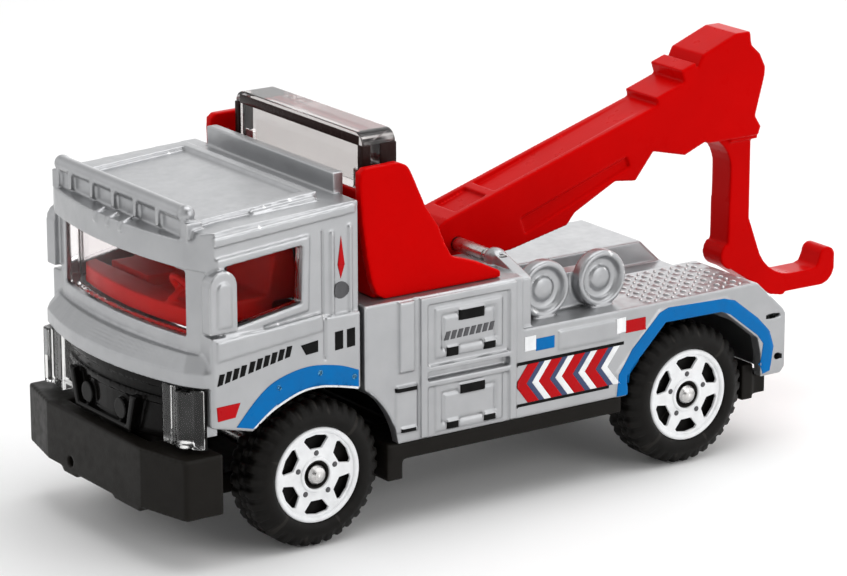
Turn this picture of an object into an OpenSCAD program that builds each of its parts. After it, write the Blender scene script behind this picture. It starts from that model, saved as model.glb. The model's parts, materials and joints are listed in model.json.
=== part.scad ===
// Toy tow truck, pocket die-cast size. Front is -Y, +Z is up, the ground is Z = 0.
// Shapes are drawn with Y = 0 at the front axle, and place() then centres the truck on the origin.

/* [Wheels] */
// Wheel diameter over the tread
wheel_d = 13; // [12.8:0.1:13.2]
// Width of one wheel
wheel_w = 5; // [4.8:0.1:5]
// Distance between the two axles
wheelbase = 39.6; // [39.4:0.1:39.8]
// Axle wire diameter
axle_d = 1.1; // [1:0.1:1.2]
// Number of windows in the rim
rim_windows = 6; // [5:1:7]

/* [Body] */
// Half width of the body at the lower cab and the lockers
body_half = 13.4; // [13.3:0.05:13.5]
// Wall thickness of the castings
wall = 1.1; // [1:0.05:1.2]
// Height of the lower edge of the castings
sill_z = 7.8; // [7.7:0.1:7.9]
// Height of the flat load deck
deck_z = 15.8; // [15.7:0.1:15.9]
// Height of the locker tops
locker_z = 20.6; // [20.5:0.1:20.7]
// Half width of the channel along the middle of the deck
channel_half = 4.1; // [4:0.1:4.2]
// Radius of the front wheel arch
arch_r = 8.2; // [8.1:0.05:8.3]

/* [Recovery gear] */
// Height of the boom pivot
pivot_z = 20.95; // [20.9:0.05:21]
// Boom pivot pin diameter
pin_d = 1.1; // [1:0.1:1.2]
// Half width of the boom
boom_half = 2.4; // [2.3:0.05:2.5]
// Tilt of the lowered boom above level
boom_tilt = 18.5; // [18.4:0.1:18.6]
// Half width of the hook arm
arm_half = 1.45; // [1.4:0.05:1.5]
// Clearance round a moving pin or axle
run_fit = 0.06; // [0.04:0.01:0.08]

/* [Hidden] */

wheel_r = wheel_d / 2;
wheel_in = body_half - wheel_w;
axle_z = wheel_r;
pod_out = wheel_in - 0.45;
pivot_y = 21.8;
bumper_front = -14.3;
hook_end = 66.35;
mid_y = (bumper_front + hook_end) / 2;
base_z = 4.4;
cab_rear = 4.3;
bed_front = 4.7;
bed_rear = 50.6;
crest_y = 47.2;
tail_z = 13;
front_post_y = -9;
rear_post_y = 30.5;
rivet_d = 1.6;
rivet_head_d = 2.4;
boom_eye_r = 2.5;
dolly_r = 2.6;

// ---- helpers -------------------------------------------------------------------------------

function arc(cy, cz, r, a0, a1, n = 8) =
    [for (i = [0:n]) let (a = a0 + (a1 - a0) * i / n) [cy + r * cos(a), cz + r * sin(a)]];

// Bowed front line seen from above, from -half to +half
function bow(front, depth, half, n = 8) = [for (i = [-n:n]) [half * i / n, front + depth * pow(i / n, 2)]];

module place() translate([0, -mid_y, 0]) children();

// A Y-Z outline made solid between two X values, and an X-Z outline between two Y values
module along_x(x0, x1) translate([x0, 0, 0]) rotate([90, 0, 90]) linear_extrude(x1 - x0) children();
module along_y(y0, y1) translate([0, y1, 0]) rotate([90, 0, 0]) linear_extrude(y1 - y0) children();

module both_sides() {
    children();
    mirror([1, 0, 0]) children();
}

module block(x0, x1, y0, y1, z0, z1) translate([x0, y0, z0]) cube([x1 - x0, y1 - y0, z1 - z0]);

module rod(r, x0, x1, y, z) translate([x0, y, z]) rotate([0, 90, 0]) cylinder(r = r, h = x1 - x0, $fn = 64);

// Cab outline from above: bowed front, cut corners, straight sides
module cab_plan(front, depth, half, corner, side, rear) {
    ends = [[corner[0], corner[1]], [side, corner[1] + 0.9], [side, rear]];
    polygon(concat(bow(front, depth, half), ends, [for (i = [2:-1:0]) [-ends[i][0], ends[i][1]]]));
}

module cab_plan_lower() cab_plan(-13.9, 1.9, 11.6, [13, -11], body_half, cab_rear);

// Apron edge, drawn in by t at the front to step up to the windscreen
module cab_plan_apron(t) cab_plan(-13.9 + t, 1.9 - 0.4 * t, 11.6 - 0.6 * t,
    [13 - 0.5 * t, -11 + 0.5 * t], body_half, cab_rear);

module cab_plan_screen() cab_plan(-11.9, 1, 10.2, [11.9, -10.3], 13.1, cab_rear);
module cab_plan_visor() cab_plan(-12.6, 1.2, 10.8, [12.3, -10.7], 13.1, cab_rear);

// ---- silver castings -----------------------------------------------------------------------

// Side outline of the visor and the roof
module roof_side() polygon([
    [cab_rear, 25.85], [-15, 25.85], [-15, 28.1], [-12.2, 28.25], [-10.9, 28.35], [-10.7, 29.1],
    [-8, 29.4], [cab_rear, 29.95]]);

// Windscreen opening seen from the front; inset > 0 gives the pane that fills it
module windscreen(inset = 0) polygon([
    [-10.1 + inset, 19.85 + inset], [10.1 - inset, 19.85 + inset], [10.1 - inset, 25.45 - inset],
    [6, 25.8 - inset], [-6, 25.8 - inset], [-10.1 + inset, 25.45 - inset]]);

// Side window opening; grow > 0 gives the raised frame round it
module side_window(grow = 0) polygon([
    [-9 - grow, 26.2 + grow], [-1.3 + grow, 26.9 + grow], [-1.5 + grow, 21.9 - grow],
    [-8.3 - grow, 20.8 - grow]]);

module roof_frame() {
    difference() {
        along_x(-10.6, 10.6) polygon([[-10, 28.5], [-10, 29.7], [1.8, 30.5], [1.8, 28.5]]);
        along_x(-9.5, 9.5) polygon([[-9, 29.35], [-9, 31], [0.9, 31], [0.9, 30.05]]);
    }
    both_sides() along_x(9.8, 11.1) polygon([[-4.8, 28.5], [-4.8, 29.75], [1.4, 30.2], [1.4, 28.5]]);
}

module roof_rail() {
    rod(0.65, -10.3, 10.3, -10.75, 30.4);
    both_sides() translate([10.3, -10.75, 30.4]) sphere(r = 0.75, $fn = 40);
    block(-10.3, 10.3, -11, -10, 28.2, 30.2);
    for (x = [-8:3.65:7]) block(x - 0.22, x + 0.22, -11.5, -10.8, 28.6, 30.1);
    both_sides() block(10.2, 11.3, -11.3, -9.8, 28.2, 29.8);
}

module mirror_block() {
    along_x(12.4, 13.75) polygon(concat(
        [[-8, 20.7], [-8, 24.7]], arc(-9.35, 24.7, 1.35, 0, 180, 8), [[-10.7, 23.2], [-10.7, 20.7]]));
    along_x(13.7, 13.9) polygon(concat(
        [[-8.7, 21.3], [-8.7, 24.4]], arc(-9.3, 24.4, 0.6, 0, 180, 8), [[-9.9, 21.3]]));
}

module cab_side_details() {
    // frame round the side window, door panel, pillar and mirror, on one side
    difference() {
        along_x(12.8, 13.3) side_window(0.7);
        along_x(12.6, 13.5) side_window();
    }
    along_x(13.2, 13.55) polygon([[-9.8, 18.3], [-9.8, 19.9], [0.4, 20.7], [0.4, 19.3]]);
    along_x(12.9, 13.3) polygon([[1.5, 20.6], [1.5, 27.6], [1.8, 27.6], [1.8, 20.6]]);
    along_x(12.9, 13.3) polygon([[3.3, 20.6], [3.3, 27.9], [3.6, 27.9], [3.6, 20.6]]);
    mirror_block();
}

module visor_marks() for (x = [-1.8, 0.3, 2.4]) {
    along_x(x, x + 0.45) polygon([[-12.3, 27.3], [-12.85, 27.5], [-12.6, 28.3], [-11.6, 28.65], [-11.5, 28.1]]);
}

module cab_outer() {
    // lower tier, apron ledge, and everything above the belt
    translate([0, 0, 11.4]) linear_extrude(20.3 - 11.4) intersection() {
        cab_plan_lower();
        translate([-20, -10.4]) square([40, 20]);
    }
    translate([0, 0, 16]) linear_extrude(1.2) cab_plan_lower();
    for (i = [0:5]) translate([0, 0, 17.1 + 0.24 * i]) linear_extrude(0.26) cab_plan_apron(0.26 * i);
    translate([0, 0, 18.3]) linear_extrude(8) cab_plan_screen();
    intersection() {
        along_x(-14, 14) roof_side();
        translate([0, 0, 25]) linear_extrude(6) cab_plan_visor();
    }
    both_sides() along_x(12.2, 13.35) polygon([[-9.9, 28], [-9.9, 28.7], [3.9, 29.7], [3.9, 29]]);
    roof_frame();
    roof_rail();
    visor_marks();
    block(-10.2, 10.2, 3.7, 4.7, 28.5, 31.75);
}

// Rivet post whose upset end holds the black base under a casting
module rivet_post(y, top) {
    translate([0, y, 9]) cylinder(d = 3, h = top - 9, $fn = 48);
    translate([0, y, base_z + 0.5]) cylinder(d = rivet_d, h = top - base_z - 0.5, $fn = 48);
    translate([0, y, base_z]) cylinder(d = rivet_head_d, h = 0.55, $fn = 48);
}

module cab_shell() place() color("silver") {
    difference() {
        cab_outer();
        translate([0, 0, 10]) linear_extrude(7.6) cab_inner_lower();
        translate([0, 0, 17.5]) linear_extrude(10.5) cab_inner_upper();
        both_sides() along_x(11, 15) side_window();
        along_y(-11.98, -9) windscreen();
        rod(arch_r, -15, 15, 0, axle_z);
        both_sides() along_x(12, 15) polygon([[-11, 11], [-11, 12.7], [-6.4, 11.6], [-6.4, 11]]);
        both_sides() along_x(13.2, 14) polygon([[0.6, 16.6], [0.6, 20.4], [0.85, 20.4], [0.85, 16.6]]);
        both_sides() along_x(12.9, 14) polygon([[0.6, 20.4], [0.6, 27.9], [0.85, 27.9], [0.85, 20.4]]);
    }
    both_sides() cab_side_details();
    rivet_post(front_post_y, 19);
    // shelf under the windscreen, and the tongue that the rivet post stands on
    translate([0, 0, 18.5]) linear_extrude(1.3) cab_plan(-11.5, 1, 10, [11.6, -10.2], 12.3, -9.2);
    block(-2, 2, -11.2, -7.6, 18.5, 19.2);
}

module cab_inner_lower() cab_plan(-12.2, 1.9, 10.6, [11.5, -10], 12, cab_rear - wall);
module cab_inner_upper() cab_plan(-11.15, 1, 9.8, [11.2, -9.4], 12, cab_rear - wall);

// Outline of the rear wheel opening; grow > 0 gives the outer edge of the band round it
module rear_arch(grow = 0) {
    y = wheelbase;
    polygon([
        [y - 7.1 - grow, 5], [y - 7.1 - grow, 9.8 + grow * 0.2], [y - 2.9 - grow * 0.6, 13.9 + grow],
        [y + 3.6 + grow * 0.4, 13.8 + grow], [y + 7.7 + grow * 0.9, 10.6 + grow * 0.6],
        [y + 8.1 + grow, 9], [y + 8.1 + grow, 5]]);
}

module bed_side() polygon([
    [bed_front, sill_z], [bed_front, locker_z], [21.2, locker_z], [21.2, deck_z], [crest_y, deck_z],
    [bed_rear - 0.4, tail_z], [bed_rear, tail_z - 0.6], [bed_rear, 7.4], [bed_rear - 0.5, 6.8],
    [wheelbase + 8.2, 6.8], [wheelbase + 8.2, sill_z]]);

// Spare dolly wheel standing on the deck, with ring, dish and hub
module dolly_wheel(y) {
    r = dolly_r;
    z = deck_z + r - 0.08;
    translate([10.1, y, z]) rotate([0, 90, 0]) rotate_extrude($fn = 64) polygon([
        [0, 0], [r - 0.2, 0], [r, 0.25], [r, 1.15], [r - 0.2, 1.4], [r - 0.45, 1.4], [r - 0.65, 1.15],
        [r - 0.8, 0.8], [1.2, 0.7], [0.95, 1], [0.4, 1.1], [0, 1.1]]);
}

module dolly_frame() {
    block(7, 10.2, 23.2, 33, deck_z - 0.3, 17.4);
    block(8.6, 10.2, 24, 32.2, 17.3, 19.1);
}

// Panelled locker door with handle and hinges, drawn on the side face
module locker_door(y0, y1, z0, z1) {
    x = body_half - 0.35;
    difference() {
        block(x, body_half + 0.15, y0, y1, z0, z1);
        block(body_half, body_half + 0.3, y0 + 0.5, y1 - 0.5, z0 + 0.5, z1 - 0.5);
    }
    block(x, body_half + 0.15, y0 + 0.9, y1 - 0.9, z0 + 0.9, z1 - 0.9);
}

module lever(y, z, w, h) block(body_half - 0.2, body_half + 0.3, y - w / 2, y + w / 2, z - h / 2, z + h / 2);

module locker_side() {
    block(12.9, body_half + 0.3, 10.3, 11, sill_z + 0.2, locker_z - 0.2);
    block(12.9, body_half + 0.3, 19.6, 20.3, sill_z + 0.2, locker_z - 0.2);
    block(12.9, body_half + 0.3, 10.3, 20.3, 13.75, 14.2);
    block(12.9, body_half + 0.3, 10.3, 20.3, 12.95 - 0.5, 12.95);
    block(12.9, body_half + 0.35, 8.1, 9.6, 14.2, locker_z - 0.2);
    block(12.9, body_half + 0.3, 10.3, 20.3, locker_z - 0.8, locker_z - 0.2);
    locker_door(11.9, 18.8, 14.9, 19.2);
    locker_door(11.9, 18.8, 8.3, 12.3);
    lever(15.6, 18.4, 2.5, 0.8);
    lever(15.6, 11.7, 2.5, 0.8);
    for (y = [13.6, 17.5], z = [15.3, 8.7]) lever(y, z, 1.2, 0.7);
    block(12.9, body_half + 0.15, 7.8, 9.9, 8.9, 12.5);
    lever(8.9, 12.7, 2, 0.35);
    lever(9.1, 9, 1.6, 0.35);
}

module bed_side_details() {
    locker_side();
    block(12.9, body_half + 0.15, 25, 31.5, 13.4, 15);
    difference() {
        along_x(12.9, body_half + 0.12) intersection() {
            rear_arch(1.15);
            union() {
                translate([30, sill_z]) square([20, 12]);
                translate([45, 7.2]) square([5, 2]);
            }
        }
        along_x(12, 15) rear_arch();
    }
}

// Post that leans in from the locker to carry the end of the boom pivot pin
module pivot_post() {
    along_y(pivot_y - 0.6, pivot_y + 0.6) polygon([
        [12.9, deck_z], [12.9, 20.2], [12.3, 20.5], [9, 21.6], [7.6, 21.6], [7.5, 20.3], [9.4, 20.1],
        [11.2, 19.2], [11.2, deck_z]]);
    block(10.6, 12.9, 20.8, 22.2, 14, 20.2);
    translate([8.3, pivot_y, pivot_z]) rotate([0, 90, 0]) rotate_extrude($fn = 48) polygon([
        [0, -0.9], [0.65, -0.9], [0.9, -0.6], [1, -0.2], [1, 0.2], [0.9, 0.6], [0.65, 0.9], [0, 0.9]]);
}

module deck_plate(y0, y1, x0, x1) {
    // raised tread, in rows of short leaning bars
    for (y = [y0:1.9:y1], x = [x0:1.9:x1]) translate([x, y, deck_z - 0.05])
        rotate([0, 0, 35]) block(-0.3, 0.3, -0.12, 0.12, 0, 0.15);
}

module bed_hollow() {
    // underside of the casting, wheel wells and boom channel
    block(-12.3, 12.3, bed_front + wall, bed_rear - 1, 0, 12.4);
    both_sides() block(channel_half + wall, 12.3, bed_front + wall, 44, 0, deck_z - wall);
    block(-channel_half, channel_half, 14.5, 60, 13.5, 30);
    rod(arch_r, -15, 15, 0, axle_z);
    both_sides() along_x(7.9, 15) rear_arch();
}

module service_body() place() color("silver") difference() {
    union() {
        difference() {
            along_x(-body_half, body_half) bed_side();
            bed_hollow();
        }
        both_sides() {
            bed_side_details();
            pivot_post();
            dolly_frame();
            dolly_wheel(25);
            dolly_wheel(31.2);
        }
        deck_plate(35.2, 46.8, 5.1, 12.8);
        rivet_post(rear_post_y, 13);
        both_sides() block(4.1, 13, 20.2, 21.2, 12, locker_z);
    }
    rod(pin_d / 2, -9.6, 9.6, pivot_y, pivot_z);
    both_sides() block(12.6, 14, 48.5, 50, 12.2, 12.5);
    both_sides() block(12.95, 14, 11, 19.6, 12.95, 13.75);
    both_sides() block(12.6, 14, 49.4, 50.1, 8.2, 8.7);
}

// ---- black plastic base --------------------------------------------------------------------

module bumper() {
    difference() {
        translate([0, 0, 4.9]) linear_extrude(10.2 - 4.9) bumper_plan();
        translate([0, 0, 6.2]) linear_extrude(10) polygon([
            [-7, -9], [-7, -12.6], [7, -12.6], [7, -9]]);
        translate([-4, bumper_front + 1.6, 5.7]) rotate([90, 0, 0]) cylinder(d = 0.9, h = 3, $fn = 40);
    }
    along_y(bumper_front + 0.05, -9.4) polygon([
        [-5.9, 5], [-5.5, 4.4], [-3.2, 4.4], [-2.9, 4.65], [3, 4.65], [3.3, 4.4], [7.5, 4.4], [8, 5]]);
}

module bumper_plan() polygon([
    [-8, bumper_front], [8, bumper_front], [13.3, -13.1], [13.4, -12.8], [13.4, -9.4], [-13.4, -9.4],
    [-13.4, -12.8], [-13.3, -13.1]]);

module axle_pod(y) {
    both_sides() along_x(4.4, pod_out) polygon([
        [y - 2.3, base_z], [y + 2.3, base_z], [y + 1.6, axle_z + 2.1], [y - 1.6, axle_z + 2.1]]);
}

module mudguard(y0, y1, out) both_sides() block(7, out, y0, y1, base_z, sill_z - 0.02);

module chassis_base() place() color([0.08, 0.08, 0.08]) difference() {
    union() {
        bumper();
        block(-7.6, 7.6, -9.6, 49, base_z, 6.2);
        both_sides() block(7.4, 13.1, 7.4, wheelbase - 7.4, 6.2, sill_z - 0.02);
        both_sides() block(12, 13.1, 8.6, wheelbase - 8, 6.2, sill_z - 0.02);
        block(-7.6, 7.6, 12, 28, 6, sill_z - 0.3);
        block(-12, 12, 47.9, 49.4, base_z + 0.4, 6.7);
        axle_pod(0);
        axle_pod(wheelbase);
        mudguard(7.2, 8.8, 13);
        mudguard(wheelbase + 7, wheelbase + 8.3, 12.2);
        // bosses that the rivet posts sit on
        for (y = [front_post_y, rear_post_y]) translate([0, y, base_z]) cylinder(d = 4, h = 4.6, $fn = 48);
    }
    rod(axle_d / 2 + 0.02, -10, 10, 0, axle_z);
    rod(axle_d / 2 + 0.02, -10, 10, wheelbase, axle_z);
    for (y = [front_post_y, rear_post_y]) {
        translate([0, y, 0]) cylinder(d = rivet_d + 0.1, h = 30, $fn = 48);
        translate([0, y, 0]) cylinder(d = rivet_head_d + 0.1, h = base_z + 0.6, $fn = 48);
    }
    for (y = [4.5, 11.5, 18.5, 25.5]) block(-3.4, 3.4, y, y + 4.4, base_z - 1, base_z + 0.35);
}

// ---- clear, smoked and red mouldings -------------------------------------------------------

module pane_plan(t) cab_plan(-11.1 + t, 1, 9.7 - t, [11.1 - t, -9.3 + t], 11.9 - t, 3 - t);

// Hollow cab glass whose panes stand forward into the openings
module window_insert() place() color([0.75, 0.8, 0.85, 0.5]) difference() {
    union() {
        translate([0, 0, 19.87]) linear_extrude(8.05) pane_plan(0);
        intersection() {
            along_y(-15, -9) windscreen(0.07);
            translate([0, 0, 19]) linear_extrude(8) cab_plan(-11.7, 1, 10, [11.7, -10.15], 12.3, -9);
        }
        both_sides() along_x(11.5, 12.3) side_window(-0.07);
        both_sides() intersection() {
            along_x(12.2, 12.95) side_window(-0.07);
            block(12, 13, -7.9, 0, 20, 28);
        }
    }
    translate([0, 0, 19]) linear_extrude(8.3) pane_plan(0.7);
}

module seat(x) {
    block(x - 3.2, x + 3.2, -7, -1.5, 19.9, 21.6);
    along_x(x - 3.2, x + 3.2) polygon([[-2.2, 21], [-1.2, 26.4], [0.4, 26.6], [1.2, 21]]);
}

module steering_wheel() translate([5.4, -8, 22.6]) rotate([-55, 0, 0]) {
    rotate_extrude($fn = 48) translate([1.3, 0]) circle(r = 0.28, $fn = 16);
    block(-1.3, 1.3, -0.2, 0.2, -0.15, 0.15);
    translate([0, 0, -1.6]) cylinder(r = 0.3, h = 1.6, $fn = 20);
}

module cab_interior() place() color("red") {
    block(-10.4, 10.4, -8.4, 1.9, 19.4, 20.1);
    translate([0, 0, 19.9]) linear_extrude(1.6) cab_plan(-10.15, 1, 8.7, [9.8, -8.6], 10.2, -7.6);
    seat(5.4);
    seat(-5.4);
    block(-1.6, 1.6, -8.4, -1, 19.6, 20.9);
    steering_wheel();
}

module front_face_plan(t) cab_plan(-13.2 + t, 1.4, 8.3, [8.4, -11], 8.4, -9.2 - t);

module grille_outer() {
    translate([0, 0, 10.35]) linear_extrude(5.5) front_face_plan(0.35);
    translate([0, 0, 15]) linear_extrude(0.9) front_face_plan(0);
    translate([0, 0, 13.5]) linear_extrude(0.6) front_face_plan(0.1);
    // slanted frame of the lower grille
    along_y(-13.35, -11) polygon([
        [-5.6, 13.8], [-4.6, 10.5], [4.6, 10.5], [5.6, 13.8], [4.8, 13.8], [4, 11], [-4, 11], [-4.8, 13.8]]);
    for (x = [-2.8, 2.8]) translate([x, -13.2, 12.1]) rotate([-90, 0, 0])
        cylinder(r = 0.95, h = 1.6, $fn = 40);
    block(-8, 8, -9.6, -8.2, 10.35, 15.7);
    both_sides() block(8.2, 12.6, -10.7, -10.4, 10.5, 15.7);
}

module grille_insert() place() color([0.05, 0.05, 0.05]) difference() {
    grille_outer();
    translate([0, front_post_y, 9]) cylinder(d = 3.2, h = 10, $fn = 48);
}

module headlight_lenses() place() color([0.6, 0.62, 0.65, 0.6]) both_sides() {
    translate([0, 0, 10.6]) linear_extrude(5.2) polygon([
        [8.6, -12.4], [9.8, -12.2], [10.8, -12], [11.8, -11.6], [12.6, -11.1], [12.75, -10.7], [8.6, -10.7]]);
    translate([11.2, -11.65, 10.75]) cylinder(r = 0.9, h = 4.9, $fn = 40);
}

module light_bar() place() color([0.85, 0.9, 0.9, 0.5]) difference() {
    along_y(6.7, 10.05) polygon(concat(
        [[-10.2, 29.65], [10.2, 29.65]], arc(9, 33.45, 1.2, 0, 90), arc(-9, 33.45, 1.2, 90, 180)));
    both_sides() block(8.1, 9.3, 7.4, 8.5, 29, 31.3);
}

module tower_side() polygon([
    [5.5, 32.3], [8.9, 32.35], [9.7, 32], [10.1, 31.4], [11.6, 28.1], [12.9, 26.2], [13.6, 24.5], [14.3, 23.3],
    [17, 22.4], [19.4, locker_z + 0.6], [19.4, locker_z + 0.02], [7.4, locker_z + 0.02], [6.6, 21.1],
    [6.1, 22.2], [5.6, 24.5], [5.1, 28], [4.9, 31], [5, 31.9]]);

module tower() place() color([0.8, 0, 0]) {
    both_sides() along_x(11.6, 12.5) tower_side();
    block(-11.7, 11.7, 6.6, 7.8, locker_z + 0.02, 29.6);
    block(-11.7, 11.7, 6.6, 8.7, 28.8, 29.6);
    block(-11.7, 11.7, 6.6, 13.2, locker_z + 0.02, 21.6);
    both_sides() block(8.2, 9.2, 7.5, 8.4, 29.4, 31.2);
}

// ---- boom and hook -------------------------------------------------------------------------

// Boom outline seen from the side, laid level with the pivot at the origin
module boom_side() polygon(concat(
    arc(0, 0.1, boom_eye_r, 205, 97, 8),
    [[24.2, 2.05], [24.2, 2.75], [27.6, 2.75], [27.6, 3.9], [29.3, 3.9], [29.3, 2.5], [33, 1.2], [33, -3.5],
     [25.6, -3.9], [22.4, -1.9], [19.7, -3.6], [17.6, -2.6], [12.6, -3.3], [11.4, -4], [5.2, -3.3]],
    arc(0, 0.1, boom_eye_r, 290, 245, 4)));

// Head cap, rounded nose, arm, elbow and hook, drawn at the boom's working angle
module head_side() polygon([
    [48.6, 33.4], [49.2, 34.6], [53.1, 36.1], [54.7, 36.1], [54.9, 34.8], [55.9, 33.9], [56.6, 32.5],
    [56.5, 31.6], [55.5, 28], [56.2, 26.9], [55.9, 26.1], [50, 26.1], [47.5, 28]]);

module arm_side() polygon(concat(
    arc(49.9, 22.9, 3.6, 105, 0, 8),
    [[53.3, 15.7]], arc(53.9, 14.6, 1.4, 130, 265, 8),
    [[56.4, 11.5], [58.6, 10], [60.1, 9.7], [60.4, 10]],
    arc(64.6, 11.7, 1.75, 270, 360, 6), arc(65.45, 12.7, 0.9, 0, 180, 8), [[64.2, 11.9], [63.6, 11.7]],
    [[61.2, 11.7]], arc(61.2, 16.2, 4.5, 265, 195, 6), [[55.75, 18], [55.8, 27.5], [50, 28]]));

module tilted() translate([0, pivot_y, pivot_z]) rotate([boom_tilt, 0, 0]) children();

module boom_top_panels() {
    // recessed panels along the top face
    tilted() {
        block(-1.7, 1.7, 1.2, 4.6, 2.15, 4);
        block(-1.7, 1.7, 5.6, 23.4, 2.05, 4);
    }
}

module boom() place() color([0.85, 0, 0]) difference() {
    union() {
        difference() {
            along_x(-boom_half, boom_half) {
                translate([pivot_y, pivot_z]) rotate(boom_tilt) boom_side();
                head_side();
            }
            boom_top_panels();
            tilted() both_sides() along_x(2.1, 3) polygon([[7, -2.6], [7, -1], [19.5, -1], [19.5, -2]]);
        }
        along_x(-arm_half, arm_half) arm_side();
        along_x(-1.75, 1.75) polygon([[53.1, 25.6], [53.1, 27.1], [56.35, 27.1], [56.35, 25.6]]);
    }
    rod(pin_d / 2 + run_fit, -5, 5, pivot_y, pivot_z);
}

// Pivot pin, thickened on both sides of the boom
module boom_pin() place() color([0.75, 0.75, 0.78]) {
    rod(pin_d / 2, -9.4, 9.4, pivot_y, pivot_z);
    both_sides() rod(0.65, boom_half + 0.2, 6.9, pivot_y, pivot_z);
}

// ---- axles and wheels ----------------------------------------------------------------------

module axle(y) place() color([0.75, 0.75, 0.78]) {
    rod(axle_d / 2, -13, 13, y, axle_z);
    both_sides() translate([12.75, y, axle_z]) rotate([0, 90, 0]) rotate_extrude($fn = 48)
        polygon([[0, 0], [0.85, 0], [0.85, 0.25], [0.7, 0.5], [0.4, 0.68], [0, 0.75]]);
}

module front_axle() axle(0);
module rear_axle() axle(wheelbase);

// Wheel and tyre in one moulding; the profile runs outward from the inner face
module wheel(side, y) place() color([0.1, 0.1, 0.1])
    translate([0, y, axle_z]) mirror([side < 0 ? 1 : 0, 0, 0]) difference() {
        translate([wheel_in, 0, 0]) rotate([0, 90, 0]) rotate_extrude($fn = 96) polygon([
            [axle_d / 2 + run_fit, 0], [5.2, 0], [5.9, 0.15], [wheel_r, 0.8], [wheel_r, wheel_w - 0.7],
            [5.9, wheel_w - 0.1], [5.2, wheel_w], [4.45, wheel_w], [4.2, wheel_w - 0.25],
            [4.06, wheel_w - 0.2], [3.6, wheel_w - 0.45], [1.25, wheel_w - 0.35], [1.1, wheel_w - 0.8],
            [axle_d / 2 + run_fit, wheel_w - 0.8]]);
        for (i = [0:rim_windows - 1]) rotate([i * 360 / rim_windows, 0, 0]) along_x(body_half - 1.3, 15)
            polygon([[-1.15, 3.45], [1.15, 3.45], [0.45, 2.25], [-0.45, 2.25]]);
    }

module wheel_front_left() wheel(1, 0);
module wheel_front_right() wheel(-1, 0);
module wheel_rear_left() wheel(1, wheelbase);
module wheel_rear_right() wheel(-1, wheelbase);

chassis_base();
cab_shell();
service_body();
window_insert();
cab_interior();
grille_insert();
headlight_lenses();
light_bar();
tower();
boom();
boom_pin();
front_axle();
rear_axle();
wheel_front_left();
wheel_front_right();
wheel_rear_left();
wheel_rear_right();
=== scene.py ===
"""Looks of the toy tow truck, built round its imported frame.

Metres, with the CAD's axes: the cab faces -Y, +X is the truck's left side, +Z is up. Sizes below are in
millimetres and are turned to metres by at(), which also counts Y from the front axle.
"""
import json
import math

import bmesh
import bpy
from mathutils import Matrix, Vector
from mathutils.bvhtree import BVHTree

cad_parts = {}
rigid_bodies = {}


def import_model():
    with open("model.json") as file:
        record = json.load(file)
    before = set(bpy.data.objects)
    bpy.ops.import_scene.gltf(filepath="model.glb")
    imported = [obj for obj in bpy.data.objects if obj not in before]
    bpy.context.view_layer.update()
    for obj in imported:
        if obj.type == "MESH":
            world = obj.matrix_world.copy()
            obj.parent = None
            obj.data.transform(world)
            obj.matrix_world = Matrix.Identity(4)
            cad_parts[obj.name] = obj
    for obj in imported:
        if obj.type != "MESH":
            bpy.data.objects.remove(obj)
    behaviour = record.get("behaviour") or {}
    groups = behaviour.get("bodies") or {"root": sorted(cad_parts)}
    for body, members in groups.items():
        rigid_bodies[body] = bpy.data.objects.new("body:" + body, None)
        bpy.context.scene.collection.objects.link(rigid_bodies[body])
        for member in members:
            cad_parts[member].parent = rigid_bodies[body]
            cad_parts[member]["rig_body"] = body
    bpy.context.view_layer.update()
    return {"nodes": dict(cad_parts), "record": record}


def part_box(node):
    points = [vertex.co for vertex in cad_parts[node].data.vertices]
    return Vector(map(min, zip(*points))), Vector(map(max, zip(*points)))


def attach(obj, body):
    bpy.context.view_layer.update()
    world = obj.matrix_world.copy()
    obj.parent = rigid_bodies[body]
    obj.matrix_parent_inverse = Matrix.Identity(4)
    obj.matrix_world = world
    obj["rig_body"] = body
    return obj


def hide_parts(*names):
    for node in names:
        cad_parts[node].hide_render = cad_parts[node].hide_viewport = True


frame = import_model()

MM = 0.001
AXLE_LOW, AXLE_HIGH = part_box("front_axle")
AXLE_Y = (AXLE_LOW.y + AXLE_HIGH.y) / 2
SIDE_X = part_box("wheel_front_left")[1].x / MM
SIDES = (1, -1)


def at(x, y, z):
    """A point given in mm, with Y counted from the front axle."""
    return Vector((x * MM, AXLE_Y + y * MM, z * MM))


# ---- camera and light ---------------------------------------------------------------------------

def make_camera():
    azimuth, elevation, roll = math.radians(55.81), math.radians(16.06), math.radians(-0.12)
    distance, target = 351.44 * MM, at(0, 19.79, 16.63)
    back = Vector((math.cos(elevation) * math.sin(azimuth), -math.cos(elevation) * math.cos(azimuth),
                   math.sin(elevation)))
    data = bpy.data.cameras.new("camera")
    data.sensor_width = 36
    data.lens = 167.35
    data.clip_start = 0.01
    camera = bpy.data.objects.new("camera", data)
    turn = back.to_track_quat("Z", "Y").to_matrix().to_4x4() @ Matrix.Rotation(roll, 4, "Z")
    camera.matrix_world = Matrix.Translation(target + back * distance) @ turn
    bpy.context.scene.collection.objects.link(camera)
    bpy.context.scene.camera = camera


def area_light(name, place, size, power):
    """A square soft box at a place in mm, aimed at the middle of the truck."""
    data = bpy.data.lights.new(name, "AREA")
    data.shape = "SQUARE"
    data.size = size * MM
    data.energy = power
    lamp = bpy.data.objects.new(name, data)
    lamp.location = at(*place)
    lamp.rotation_euler = (lamp.location - at(0, 20, 12)).to_track_quat("Z", "Y").to_euler()
    bpy.context.scene.collection.objects.link(lamp)


# Soft lobes of the white tent round the truck: direction, where the lobe starts and is full, strength
LOBES = [
    ((0, 0, 1), -1.0, -0.99, 0.05),
    ((0, -1, 0.15), 0.2, 0.9, 0.75),
    ((0, 1, 0.15), 0.2, 0.9, 1.5),
    ((-1, 0, 0.15), 0.2, 0.9, 0.7),
]
# Soft boxes: name, place and size in mm, power
BOXES = [
    ("overhead", (30, 60, 420), 380, 1.05),
    ("left_wall", (430, 130, 170), 300, 0.66),
]


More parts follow.
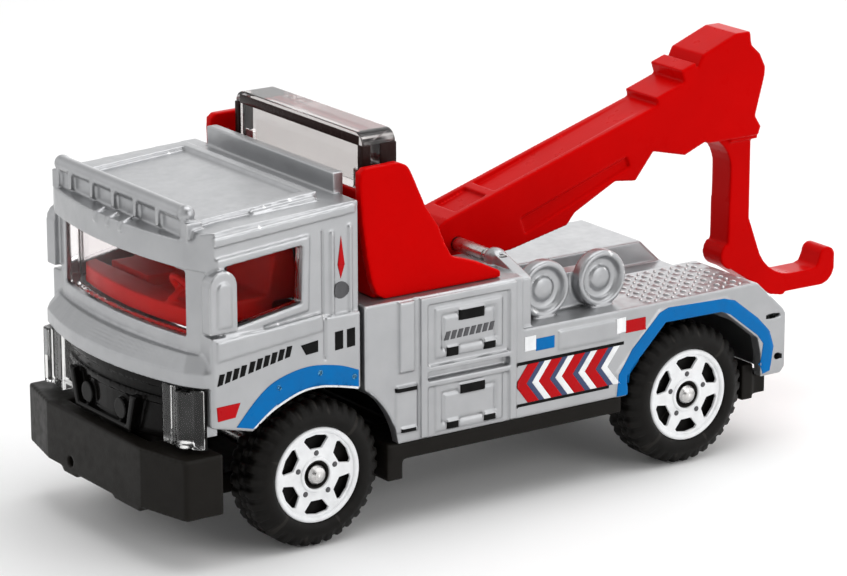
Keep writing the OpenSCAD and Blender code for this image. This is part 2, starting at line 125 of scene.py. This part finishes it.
def make_world():
    """The tent, as a sum of soft lobes."""
    world = bpy.data.worlds.new("tent")
    world.use_nodes = True
    nodes, links = world.node_tree.nodes, world.node_tree.links
    direction = nodes.new("ShaderNodeTexCoord").outputs["Generated"]
    total = None
    for axis, start, full, strength in LOBES:
        along = nodes.new("ShaderNodeVectorMath")
        along.operation = "DOT_PRODUCT"
        along.inputs[1].default_value = Vector(axis).normalized()
        links.new(direction, along.inputs[0])
        lobe = nodes.new("ShaderNodeMapRange")
        lobe.interpolation_type = "SMOOTHSTEP"
        for key, value in zip(("From Min", "From Max", "To Max"), (start, full, strength)):
            lobe.inputs[key].default_value = value
        links.new(along.outputs["Value"], lobe.inputs["Value"])
        if total is None:
            total = lobe.outputs["Result"]
        else:
            added = nodes.new("ShaderNodeMath")
            links.new(total, added.inputs[0])
            links.new(lobe.outputs["Result"], added.inputs[1])
            total = added.outputs["Value"]
    links.new(total, nodes["Background"].inputs["Strength"])
    nodes["Background"].inputs["Color"].default_value = (1, 1, 1, 1)
    bpy.context.scene.world = world


def make_lights():
    make_world()
    for name, place, size, power in BOXES:
        area_light(name, place, size, power)


def make_floor():
    mesh = bpy.data.meshes.new("floor")
    half = 3.0
    corners = [(-half, -half, 0), (half, -half, 0), (half, half, 0), (-half, half, 0)]
    mesh.from_pydata(corners, [], [(0, 1, 2, 3)])
    floor = bpy.data.objects.new("floor", mesh)
    bpy.context.scene.collection.objects.link(floor)
    floor.data.materials.append(paper())


# ---- materials ----------------------------------------------------------------------------------

def ramp(node, stops):
    """Sets a colour ramp's stops from (position, colour) pairs."""
    band = node.color_ramp
    while len(band.elements) < len(stops):
        band.elements.new(0.5)
    for element, (position, colour) in zip(band.elements, stops):
        element.position = position
        element.color = (*colour, 1)


class Finish:
    """A principled material that grows its own noise and bump, and may paint highlights on sharp edges and
    shade in creases.
    """

    def __init__(self, name, colour, **settings):
        self.material = bpy.data.materials.new(name)
        self.material.use_nodes = True
        self.nodes, self.links = self.material.node_tree.nodes, self.material.node_tree.links
        self.shader = self.nodes["Principled BSDF"]
        self.colour = colour
        self.shader.inputs["Base Color"].default_value = (*colour, 1)
        for key, value in settings.items():
            self.shader.inputs[key.replace("_", " ")].default_value = value
        self.place = self.nodes.new("ShaderNodeTexCoord").outputs["Object"]
        self.bumps = None

    def noise(self, size, detail=3.0):
        """Noise whose lumps are about size mm across."""
        node = self.nodes.new("ShaderNodeTexNoise")
        node.inputs["Scale"].default_value = 1 / (size * MM)
        node.inputs["Detail"].default_value = detail
        self.links.new(self.place, node.inputs["Vector"])
        return node.outputs["Fac"]

    def span(self, value, low, high, start=0.3, end=0.7):
        """value, from start to end, turned into low to high."""
        node = self.nodes.new("ShaderNodeMapRange")
        for key, number in zip(("From Min", "From Max", "To Min", "To Max"), (start, end, low, high)):
            node.inputs[key].default_value = number
        self.links.new(value, node.inputs["Value"])
        return node.outputs["Result"]

    def mix(self, factor, first, second):
        node = self.nodes.new("ShaderNodeMix")
        node.data_type = "RGBA"
        for key, value in (("A", first), ("B", second)):
            if isinstance(value, tuple):
                node.inputs[key].default_value = (*value, 1)
            else:
                self.links.new(value, node.inputs[key])
        self.links.new(factor, node.inputs["Factor"])
        return node.outputs["Result"]

    def paint(self, other, size, edge=None, painted_crease_shade=None):
        """Base colour drifts to other; sharp edges may turn lighter as a painted highlight, and creases
        darker as painted shade.
        """
        colour = self.mix(self.span(self.noise(size), 0, 1), self.colour, other)
        if edge or painted_crease_shade:
            point = self.nodes.new("ShaderNodeNewGeometry").outputs["Pointiness"]
            if edge:
                # painted highlight: sharp edges lightened where light would catch them
                colour = self.mix(self.span(point, 0, 1, 0.53, 0.62), colour, edge)
            if painted_crease_shade:
                # painted shade: creases darkened where shade would fall
                colour = self.mix(self.span(point, 1, 0, 0.4, 0.48), colour, painted_crease_shade)
        self.links.new(colour, self.shader.inputs["Base Color"])

    def roughen(self, low, high, size):
        self.links.new(self.span(self.noise(size), low, high), self.shader.inputs["Roughness"])

    def bump(self, size, height, detail=3.0):
        """Adds bump of that height in mm; calls stack."""
        node = self.nodes.new("ShaderNodeBump")
        node.inputs["Distance"].default_value = height * MM
        self.links.new(self.noise(size, detail), node.inputs["Height"])
        if self.bumps:
            self.links.new(self.bumps, node.inputs["Normal"])
        self.bumps = node.outputs["Normal"]
        self.links.new(self.bumps, self.shader.inputs["Normal"])


def paper():
    finish = Finish("paper", (0.93, 0.93, 0.925), Specular_IOR_Level=0.2)
    finish.paint((0.9, 0.9, 0.9), 90)
    finish.roughen(0.7, 0.85, 30)
    finish.bump(1.5, 0.02)
    return finish.material


def silver_paint():
    finish = Finish("silver_paint", (0.41, 0.415, 0.425), Metallic=0.85, Specular_IOR_Level=0.3)
    # Edges lighter as a painted highlight, creases darker as painted shade.
    finish.paint((0.37, 0.375, 0.385), 3.0, edge=(0.72, 0.72, 0.72), painted_crease_shade=(0.1, 0.1, 0.1))
    finish.roughen(0.3, 0.4, 0.8)
    finish.bump(0.12, 0.004, 2)
    finish.bump(2.5, 0.02)
    return finish.material


def red_plastic():
    finish = Finish("red_plastic", (0.54, 0.0005, 0.0006), Specular_IOR_Level=0.05)
    finish.shader.inputs["Specular Tint"].default_value = (1, 0.16, 0.14, 1)
    # Edges lighter as a painted highlight, creases darker as painted shade.
    finish.paint((0.5, 0.0004, 0.0005), 5.0, edge=(0.66, 0.004, 0.004), painted_crease_shade=(0.32, 0.0004, 0.0004))
    finish.roughen(0.26, 0.34, 1.6)
    finish.bump(0.5, 0.003)
    finish.bump(4.0, 0.015)
    return finish.material


def interior_red():
    finish = Finish("interior_red", (0.8, 0.004, 0.002), Specular_IOR_Level=0.1)
    # Creases darker as painted shade.
    finish.paint((0.7, 0.003, 0.002), 3.0, painted_crease_shade=(0.4, 0.002, 0.001))
    finish.roughen(0.45, 0.6, 1.5)
    finish.bump(0.8, 0.008)
    return finish.material


def black_plastic():
    finish = Finish("black_plastic", (0.007, 0.0058, 0.0045), Specular_IOR_Level=0.1)
    # Edges lighter as a painted highlight, creases darker as painted shade.
    finish.paint((0.009, 0.0078, 0.0064), 2.5, edge=(0.02, 0.018, 0.016), painted_crease_shade=(0.003, 0.0025, 0.002))
    finish.roughen(0.38, 0.5, 0.9)
    finish.bump(0.18, 0.008)
    finish.bump(3.0, 0.025)
    return finish.material


def gloss_black():
    finish = Finish("gloss_black", (0.0025, 0.0022, 0.002), Specular_IOR_Level=0.08)
    # Edges lighter as a painted highlight.
    finish.paint((0.004, 0.0036, 0.0034), 1.5, edge=(0.03, 0.03, 0.03))
    finish.roughen(0.14, 0.24, 0.7)
    finish.bump(0.6, 0.01)
    return finish.material


def tyre_plastic():
    finish = Finish("tyre_plastic", (0.005, 0.0045, 0.0038), Specular_IOR_Level=0.12)
    # Edges lighter as a painted highlight, creases darker as painted shade.
    finish.paint((0.007, 0.0062, 0.0055), 1.2, edge=(0.02, 0.018, 0.016), painted_crease_shade=(0.002, 0.0018, 0.0016))
    finish.roughen(0.42, 0.56, 0.5)
    finish.bump(0.15, 0.01)
    return finish.material


def clear_plastic(name, tint, rough, ior):
    finish = Finish(name, tint, Transmission_Weight=1.0, IOR=ior)
    finish.paint(tuple(0.94 * channel for channel in tint), 4.0)
    finish.roughen(rough, rough + 0.05, 1.5)
    finish.bump(2.5, 0.004)
    return finish.material


def steel():
    finish = Finish("steel", (0.66, 0.65, 0.64), Metallic=1.0)
    # Edges lighter as a painted highlight.
    finish.paint((0.5, 0.49, 0.48), 0.6, edge=(0.75, 0.74, 0.73))
    finish.roughen(0.24, 0.34, 0.5)
    finish.bump(0.3, 0.003)
    return finish.material


def ink(name, colour, rough=0.32):
    """Pad-printed ink with a faint mottle."""
    finish = Finish(name, colour, Specular_IOR_Level=0.06)
    finish.paint(tuple(min(1, channel * 0.88 + 0.004) for channel in colour), 1.0)
    finish.roughen(rough - 0.05, rough + 0.06, 0.6)
    finish.bump(0.25, 0.004)
    return finish.material


MATERIALS = {
    "silver_paint": silver_paint(),
    "red_plastic": red_plastic(),
    "black_plastic": black_plastic(),
    "gloss_black": gloss_black(),
    "tyre_black": tyre_plastic(),
    "smoked_clear": clear_plastic("smoked_clear", (0.85, 0.85, 0.84), 0.04, 1.42),
    "window_clear": clear_plastic("window_clear", (0.93, 0.9, 0.9), 0.02, 1.1),
    "clear_plastic": clear_plastic("clear_plastic", (0.58, 0.55, 0.54), 0.05, 1.36),
    "interior_red": interior_red(),
    "trim_dark": ink("trim_dark", (0.02, 0.008, 0.007), 0.25),
    "steel": steel(),
    "print_white": ink("print_white", (0.86, 0.87, 0.88)),
    "print_blue": ink("print_blue", (0.0006, 0.142, 0.42)),
    "print_black": ink("print_black", (0.004, 0.004, 0.004), 0.45),
    "print_red": ink("print_red", (0.46, 0.003, 0.006)),
    "print_slate": ink("print_slate", (0.06, 0.08, 0.16)),
    "print_grey": ink("print_grey", (0.1, 0.1, 0.105)),
    "print_sky": ink("print_sky", (0.25, 0.62, 0.9)),
}
BODY_OF = {node: body for body, members in frame["record"]["behaviour"]["bodies"].items() for node in members}


# ---- mesh helpers -------------------------------------------------------------------------------

def add_piece(name, mesh, material, body):
    piece = bpy.data.objects.new(name, mesh)
    bpy.context.scene.collection.objects.link(piece)
    mesh.materials.clear()
    mesh.materials.append(MATERIALS[material])
    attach(piece, body)
    return piece


def bake(piece):
    """Applies the piece's modifiers to its mesh."""
    depsgraph = bpy.context.evaluated_depsgraph_get()
    mesh = bpy.data.meshes.new_from_object(piece.evaluated_get(depsgraph))
    piece.modifiers.clear()
    piece.data = mesh
    return mesh


def softened(node, material, voxel, passes):
    """The CAD node as a moulding: one skin of voxel mm, with sharp edges rounded off in passes."""
    mesh = frame["nodes"][node].data.copy()
    work = bmesh.new()
    work.from_mesh(mesh)
    bmesh.ops.remove_doubles(work, verts=work.verts, dist=1e-6)
    work.to_mesh(mesh)
    work.free()
    piece = add_piece(f"{node}_moulding", mesh, material, BODY_OF[node])
    skin = piece.modifiers.new("skin", "REMESH")
    skin.mode = "VOXEL"
    skin.voxel_size = voxel * MM
    skin.use_smooth_shade = True
    soft = piece.modifiers.new("soft", "SMOOTH")
    soft.factor = 0.5
    soft.iterations = passes
    bake(piece)
    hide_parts(node)
    return piece


def smooth_faces(mesh):
    for polygon in mesh.polygons:
        polygon.use_smooth = True


def lathe(profile, centre, side, segments=96, turn=None):
    """Spins (across, radius) points in mm about an X axis; side -1 mirrors it. turn may move a radius."""
    work = bmesh.new()
    rings = []
    for along, (across, radius) in enumerate(profile):
        ring = []
        for step in range(segments):
            angle = 2 * math.pi * step / segments
            r = turn(along, angle, radius) if turn else radius
            spoke = Vector((side * across, -r * math.cos(angle), r * math.sin(angle)))
            ring.append(work.verts.new(centre + spoke * MM))
        rings.append(ring)
    for first, second in zip(rings, rings[1:]):
        for step in range(segments):
            after = (step + 1) % segments
            work.faces.new((first[step], first[after], second[after], second[step]))
    for ring in (rings[0], rings[-1]):
        if (ring[0].co - ring[segments // 2].co).length < 1e-7:
            bmesh.ops.remove_doubles(work, verts=ring, dist=1e-7)
        elif rings[0][0].co != rings[-1][0].co:
            work.faces.new(ring)
    bmesh.ops.recalc_face_normals(work, faces=work.faces)
    mesh = bpy.data.meshes.new("lathe")
    work.to_mesh(mesh)
    work.free()
    smooth_faces(mesh)
    return mesh


def smooth_line(points, steps=6):
    """Catmull-Rom curve through the points."""
    padded = [points[0], *points, points[-1]]
    line = []
    for a, b, c, d in zip(padded, padded[1:], padded[2:], padded[3:]):
        for i in range(steps):
            t = i / steps
            line.append(tuple(0.5 * (2 * q + (r - p) * t + (2 * p - 5 * q + 4 * r - s) * t * t
                                     + (3 * q - p - 3 * r + s) * t ** 3) for p, q, r, s in zip(a, b, c, d)))
    return line + [points[-1]]


def rectangle(y0, y1, z0, z1, lean=0.0):
    """Outline of a block between y0 and y1; lean raises the far end."""
    return [(y0, z0), (y1, z0 + lean), (y1, z1 + lean), (y0, z1)]


def disc(y, z, radius, steps=20):
    return [(y + radius * math.cos(2 * math.pi * i / steps), z + radius * math.sin(2 * math.pi * i / steps))
            for i in range(steps)]


class Printer:
    """Lays thin prints on the side faces of a moulding, following its relief."""

    GRID = 0.2
    LIFT = 0.035
    THICK = 0.04
    REACH = (11.5, 14.2)
    AROUND = [(0, 0), (0.1, 0), (-0.1, 0), (0, 0.1), (0, -0.1)]

    def __init__(self, target):
        work = bmesh.new()
        work.from_mesh(target.data)
        self.tree = BVHTree.FromBMesh(work)
        work.free()
        self.body = target["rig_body"]

    def surface(self, side, y, z):
        """X in mm of the side face round y, z, or None where the moulding is open there."""
        found = []
        for dy, dz in self.AROUND:
            hit = self.tree.ray_cast(at(side * 20, y + dy, z + dz), Vector((-side, 0, 0)))[0]
            if hit is not None and self.REACH[0] < abs(hit.x) / MM < self.REACH[1]:
                found.append(abs(hit.x) / MM)
        return max(found) if found else None

    def lay(self, name, material, outlines):
        """One printed piece on both sides, from outlines of (y, z) points in mm."""
        work = bmesh.new()
        for side in SIDES:
            for outline in outlines:
                self.one(work, side, outline)
        bmesh.ops.recalc_face_normals(work, faces=work.faces)
        mesh = bpy.data.meshes.new(name)
        work.to_mesh(mesh)
        work.free()
        smooth_faces(mesh)
        return add_piece(name, mesh, material, self.body)

    def one(self, work, side, outline):
        flat = bmesh.new()
        face = flat.faces.new([flat.verts.new((0, y, z)) for y, z in outline])
        face.normal_update()
        bmesh.ops.triangulate(flat, faces=flat.faces)
        for axis in (1, 2):
            values = [point[axis - 1] for point in outline]
            cut = math.ceil(min(values) / self.GRID) * self.GRID
            while cut < max(values):
                spot, normal = Vector((0, 0, 0)), Vector((0, 0, 0))
                spot[axis], normal[axis] = cut, 1
                bmesh.ops.bisect_plane(flat, geom=[*flat.verts, *flat.edges, *flat.faces], plane_co=spot,
                                       plane_no=normal)
                cut += self.GRID
        found = {v: self.surface(side, v.co.y, v.co.z) for v in flat.verts}
        known = [x for x in found.values() if x is not None]
        usual = sorted(known)[len(known) // 2] if known else SIDE_X
        top, under = {}, {}
        for v in flat.verts:
            x = usual if found[v] is None else found[v]
            top[v] = work.verts.new(at(side * (x + self.LIFT), v.co.y, v.co.z))
            under[v] = work.verts.new(at(side * (x + self.LIFT - self.THICK), v.co.y, v.co.z))
        for face in flat.faces:
            work.faces.new([top[v] for v in face.verts])
            work.faces.new([under[v] for v in reversed(face.verts)])
        for edge in flat.edges:
            if edge.is_boundary:
                a, b = edge.verts
                work.faces.new((top[a], top[b], under[b], under[a]))
        flat.free()


# ---- wheels -------------------------------------------------------------------------------------

LUGS = 34
# Tyre section from the inner hub face to the outer one: across and radius in mm, then how deep the
# gaps between the lugs cut and by how much of a lug the row is shifted
TYRE = [
    (0.8, 0.61, 0, 0), (0.1, 0.61, 0, 0), (0.0, 0.8, 0, 0), (0.0, 4.6, 0, 0), (0.12, 5.2, 0, 0),
    (0.4, 5.75, 0.12, 0.5), (0.72, 6.18, 0.2, 0.5), (0.95, 6.4, 0.24, 0.5), (1.2, 6.46, 0.24, 0.5),
    (1.95, 6.46, 0.24, 0.5), (2.0, 6.36, 0.16, 0.5), (2.1, 6.24, 0, 0), (2.25, 6.24, 0, 0),
    (2.35, 6.36, 0.16, 0.15), (2.4, 6.46, 0.24, 0.15), (2.85, 6.46, 0.24, 0.15), (2.9, 6.36, 0.16, 0.15),
    (3.0, 6.24, 0, 0), (3.15, 6.24, 0, 0), (3.25, 6.36, 0.16, 0), (3.3, 6.46, 0.24, 0),
    (4.0, 6.46, 0.24, 0), (4.2, 6.4, 0.24, 0), (4.4, 6.2, 0.22, 0), (4.6, 5.92, 0.18, 0),
    (4.72, 5.66, 0.1, 0), (4.8, 5.45, 0, 0), (4.92, 5.25, 0, 0), (4.97, 4.95, 0, 0), (4.95, 4.6, 0, 0),
    (4.85, 4.4, 0, 0), (4.78, 4.3, 0, 0), (4.7, 4.24, 0, 0), (4.3, 4.2, 0, 0), (3.8, 4.1, 0, 0),
    (3.7, 3.9, 0, 0), (3.7, 1.4, 0, 0), (3.8, 1.28, 0, 0), (4.5, 1.26, 0, 0), (4.58, 1.2, 0, 0),
    (4.55, 1.1, 0, 0), (4.25, 1.06, 0, 0), (4.2, 0.95, 0, 0), (4.2, 0.61, 0, 0), (0.8, 0.61, 0, 0)]
RIM_WINDOWS = 6
NUTS = 5


def tyre_mesh(centre, side):
    def lugged(along, angle, radius):
        depth, shift = TYRE[along][2:]
        if not depth:
            return radius
        share = (angle * LUGS / (2 * math.pi) + shift) % 1
        edge = min(share / 0.09, (0.66 - share) / 0.09)
        return radius - depth * (1 - min(1, max(0, edge)))

    return lathe([point[:2] for point in TYRE], centre, side, LUGS * 10, lugged)


def rim_outline(curve, points):
    line = curve.splines.new("POLY")
    line.points.add(len(points) - 1)
    for point, (y, z) in zip(line.points, points):
        point.co = (y * MM, z * MM, 0, 1)
    line.use_cyclic_u = True


def window_outline(index):
    """A wedge between two spokes, with softened corners."""
    corners = [(-0.6, 2.25), (0.6, 2.25), (1.28, 3.1), (1.05, 3.42), (0, 3.6), (-1.05, 3.42), (-1.28, 3.1)]
    turn = Matrix.Rotation(2 * math.pi * index / RIM_WINDOWS, 2)
    return [tuple(turn @ Vector(corner)) for corner in corners]


def rim_mesh(centre, side):
    """White face with its windows and hub hole, cut from one sheet and rounded at the edges."""
    curve = bpy.data.curves.new("rim", "CURVE")
    curve.dimensions = "2D"
    curve.fill_mode = "BOTH"
    curve.extrude = 0.1 * MM
    curve.bevel_depth = 0.05 * MM
    curve.bevel_resolution = 2
    rim_outline(curve, disc(0, 0, 3.95, 96))
    rim_outline(curve, disc(0, 0, 1.32, 48))
    for index in range(RIM_WINDOWS):
        rim_outline(curve, window_outline(index))
    sheet = bpy.data.objects.new("rim", curve)
    bpy.context.scene.collection.objects.link(sheet)
    bpy.context.view_layer.update()
    mesh = bpy.data.meshes.new_from_object(sheet.evaluated_get(bpy.context.evaluated_depsgraph_get()))
    bpy.data.objects.remove(sheet)
    stand = Matrix(((0, 0, side, 0), (1, 0, 0, 0), (0, 1, 0, 0), (0, 0, 0, 1)))
    mesh.transform(Matrix.Translation(centre + Vector((side * 4.42 * MM, 0, 0))) @ stand)
    return mesh


def joined(name, meshes):
    """Several meshes as one."""
    work = bmesh.new()
    for mesh in meshes:
        work.from_mesh(mesh)
    bmesh.ops.recalc_face_normals(work, faces=work.faces)
    mesh = bpy.data.meshes.new(name)
    work.to_mesh(mesh)
    work.free()
    return mesh


def make_wheel(node, side):
    low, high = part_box(node)
    inner = min(abs(low.x), abs(high.x))
    centre = Vector((side * inner, (low.y + high.y) / 2, (low.z + high.z) / 2))
    tyre = add_piece(f"{node}_tyre", tyre_mesh(centre, side), "tyre_black", node)
    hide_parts(node)
    ring_section = [(4.4, 3.7), (4.62, 3.72), (4.74, 3.8), (4.8, 3.95), (4.78, 4.1), (4.7, 4.2),
        (4.4, 4.22), (4.4, 3.7)]
    ring = lathe(ring_section, centre, side)
    collar_section = [(4.45, 1.28), (4.66, 1.28), (4.7, 1.34), (4.7, 1.5), (4.64, 1.58), (4.45, 1.62),
        (4.45, 1.28)]
    collar = lathe(collar_section, centre, side)
    rim = joined(f"{node}_rim", [rim_mesh(centre, side), ring, collar])
    add_piece(f"{node}_rim", rim, "print_white", node)
    nuts = []
    for index in range(NUTS):
        angle = 2 * math.pi * index / NUTS + math.pi / 2
        spot = centre + Vector((0, math.cos(angle), math.sin(angle))) * 1.93 * MM
        nuts.append(lathe([(4.5, 0.26), (4.6, 0.24), (4.66, 0.16), (4.68, 0.0)], spot, side, 16))
    add_piece(f"{node}_nuts", joined(f"{node}_nuts", nuts), "print_grey", node)


# ---- the truck ----------------------------------------------------------------------------------

def front_arch():
    outer = [(-8.1, 12.3), (-6, 14.5), (-4, 15.75), (-1, 16.35), (2, 15.95), (4.05, 15.2)]
    inner = [(4.05, 13.7), (2, 14.2), (0, 14.5), (-2, 14.3), (-4.5, 13.3), (-6.5, 11.9)]
    return smooth_line(outer) + smooth_line(inner)


def front_lip():
    outer = [(4.05, 13.7), (2, 14.2), (0, 14.5), (-2, 14.3), (-4.5, 13.3), (-6.5, 11.9)]
    inner = [(-6.2, 11.9), (-4.4, 13.1), (-1.9, 14.1), (0, 14.3), (2, 14.0), (4.05, 13.5)]
    return smooth_line(outer) + smooth_line(inner)


def rear_arch():
    return [(31.3, 7.9), (31.5, 9.9), (33, 12), (36, 14.9), (37, 15.2), (43.3, 15), (44.6, 14.6),
            (47.3, 12.5), (48.7, 11), (49.2, 9.5), (48.7, 7.3), (47.9, 7.1), (47.6, 8), (47.9, 10),
            (47.2, 10.9), (44, 13.4), (43, 13.8), (36.7, 13.9), (34, 11.2), (32.7, 9.8), (32.5, 7.9)]


def chevron(tip, width, middle=10.85, half=1.75, slant=1.35):
    """An arrow stripe pointing to the cab."""
    return [(tip, middle), (tip + slant, middle + half), (tip + slant + width, middle + half),
            (tip + width, middle), (tip + slant + width, middle - half), (tip + slant, middle - half)]


def hatch(y, z, count, step, size, rise, lean=0.25):
    """A row of leaning dashes, in place of a line of words."""
    width, height = size
    return [[(y + i * step, z + i * rise), (y + i * step + width, z + i * rise + rise * width / step),
             (y + i * step + width + lean, z + i * rise + height),
             (y + i * step + lean, z + i * rise + height)]
            for i in range(count)]


def print_cab(printer):
    printer.lay("front_arch_band", "print_blue", [front_arch()])
    printer.lay("front_arch_lip", "print_white", [front_lip()])
    dots = [(-3.9, 15.0), (0.2, 15.6), (3.6, 14.7)]
    printer.lay("front_arch_dots", "print_sky", [disc(y, z, 0.24) for y, z in dots])
    printer.lay("corner_marker", "print_red", [[(-10.0, 14.35), (-7.7, 14.4), (-8.2, 13.2), (-9.9, 13.1)]])
    printer.lay("door_dashes", "print_black",
                hatch(-9.9, 16.15, 4, 0.72, (0.5, 1.0), 0.14) + hatch(-6.9, 16.75, 6, 0.72, (0.5, 1.0), 0.14))
    printer.lay("door_wedge", "print_black", [[(-1.7, 18.3), (0.0, 18.5), (0.0, 17.5), (-1.2, 17.4)]])
    printer.lay("pillar_bars", "print_black",
                [rectangle(1.7, 2.5, 17.3, 18.9, 0.06), rectangle(2.9, 3.7, 17.35, 18.95, 0.06)])
    printer.lay("pillar_spear", "print_red", [[(2.5, 23.4), (2.9, 24.6), (2.55, 27.1), (2.2, 24.6)]])
    printer.lay("pillar_disc", "print_grey", [disc(2.5, 22.4, 0.75)])


def print_bed(printer):
    printer.lay("rear_arch_band", "print_blue", [rear_arch()])
    tips = [20.3 + 2.5 * i for i in range(4)]
    printer.lay("chevron_red", "print_red", [chevron(tip, 1.2) for tip in tips])
    printer.lay("chevron_slate", "print_slate", [chevron(tip + 1.2, 0.6) for tip in tips])
    printer.lay("chevron_white", "print_white", [chevron(tip + 1.8, 0.7) for tip in tips])
    printer.lay("chevron_lines", "print_black",
                [rectangle(20.3, 32.1, 12.6, 12.88), rectangle(20.3, 30.5, 8.82, 9.08)])
    printer.lay("marker_white", "print_white",
                [rectangle(21.3, 22.5, 13.8, 15.1), rectangle(31.2, 32.3, 13.75, 15.1)])
    printer.lay("marker_blue", "print_blue", [rectangle(22.5, 24.5, 13.65, 14.75)])
    printer.lay("marker_red", "print_red", [rectangle(32.3, 34.5, 13.6, 14.75)])
    fittings = [rectangle(14.2, 16.8, 17.9, 18.8), rectangle(12.9, 14.1, 14.85, 15.65),
                rectangle(16.8, 18.0, 14.85, 15.5), rectangle(14.3, 16.9, 11.3, 12.1),
                rectangle(12.9, 14.1, 8.35, 8.95), rectangle(16.8, 18.0, 8.4, 8.9)]
    printer.lay("locker_fittings", "print_black", fittings)
    printer.lay("locker_dashes", "print_grey", hatch(12.7, 16.3, 8, 0.66, (0.46, 0.75), 0.02))
    printer.lay("locker_slots", "print_black",
                [rectangle(7.7, 9.8, 12.5, 12.85), rectangle(8.2, 9.7, 8.85, 9.15)])
    printer.lay("tail_slots", "print_black",
                [rectangle(48.3, 49.4, 12.2, 12.55), rectangle(49.5, 50.2, 8.2, 8.6)])


def deck_studs():
    """Raised tread lozenges on the deck's left strip, leaning left and right in turn."""
    work = bmesh.new()
    deck_z, pitch = 15.82, 0.95
    first_x, first_y = 5.1, 35.2
    rows, columns = 12, 9
    for row in range(rows):
        for column in range(columns):
            y, x = first_y + row * pitch, first_x + column * pitch
            lean = 35 if (row + column) % 2 == 0 else -35
            place = Matrix.Translation(at(x, y, deck_z)) @ Matrix.Rotation(math.radians(lean), 4, "Z")
            shape = Matrix.Diagonal((0.32 * MM, 0.15 * MM, 0.15 * MM, 1))
            bmesh.ops.create_icosphere(work, subdivisions=2, radius=1, matrix=place @ shape)
    mesh = bpy.data.meshes.new("deck_studs")
    work.to_mesh(mesh)
    work.free()
    smooth_faces(mesh)
    add_piece("deck_studs", mesh, "silver_paint", "truck")


def bar(work, low, high, chamfer=0.08):
    """A small chamfered bar between two corners in mm, added to work."""
    part = bmesh.new()
    bmesh.ops.create_cube(part, size=1)
    low, high = at(*low), at(*high)
    for v in part.verts:
        v.co = Vector([a if c < 0 else b for a, b, c in zip(low, high, v.co)])
    bmesh.ops.bevel(part, geom=part.edges[:], offset=chamfer * MM, segments=2, affect="EDGES", profile=0.5)
    mesh = bpy.data.meshes.new("bar")
    part.to_mesh(mesh)
    part.free()
    work.from_mesh(mesh)


def light_bar_trim():
    """Dark rails that frame the clear light bar: one under its top edge, and two posts at each end."""
    work = bmesh.new()
    bar(work, (-9.4, 6.6, 33.55), (9.6, 6.8, 34.35))
    for side in SIDES:
        x0, x1 = sorted((side * 9.95, side * 10.26))
        bar(work, (x0, 6.62, 29.7), (x1, 7.5, 33.6))
        bar(work, (x0, 8.45, 29.7), (x1, 10.1, 33.6))
        x0, x1 = sorted((side * 9.5, side * 10.22))
        bar(work, (x0, 6.6, 29.7), (x1, 6.8, 33.6))
    mesh = bpy.data.meshes.new("light_bar_trim")
    work.to_mesh(mesh)
    work.free()
    smooth_faces(mesh)
    add_piece("light_bar_trim", mesh, "trim_dark", "truck")


def make_truck():
    cab = softened("cab_shell", "silver_paint", 0.12, 3)
    bed = softened("service_body", "silver_paint", 0.12, 3)
    softened("chassis_base", "black_plastic", 0.16, 3)
    softened("tower", "red_plastic", 0.14, 4)
    softened("boom", "red_plastic", 0.11, 4)
    softened("cab_interior", "interior_red", 0.16, 2)
    softened("grille_insert", "gloss_black", 0.1, 2)
    softened("headlight_lenses", "smoked_clear", 0.1, 3)
    softened("window_insert", "window_clear", 0.14, 3)
    softened("light_bar", "clear_plastic", 0.1, 3)
    for node in ("boom_pin", "front_axle", "rear_axle"):
        frame["nodes"][node].data.materials.clear()
        frame["nodes"][node].data.materials.append(MATERIALS["steel"])
    print_cab(Printer(cab))
    print_bed(Printer(bed))
    deck_studs()
    light_bar_trim()
    for end in ("front", "rear"):
        make_wheel(f"wheel_{end}_left", 1)
        make_wheel(f"wheel_{end}_right", -1)


make_camera()
make_lights()
make_floor()
make_truck()
bpy.context.scene.view_settings.view_transform = "Standard"

bpy.context.view_layer.update()
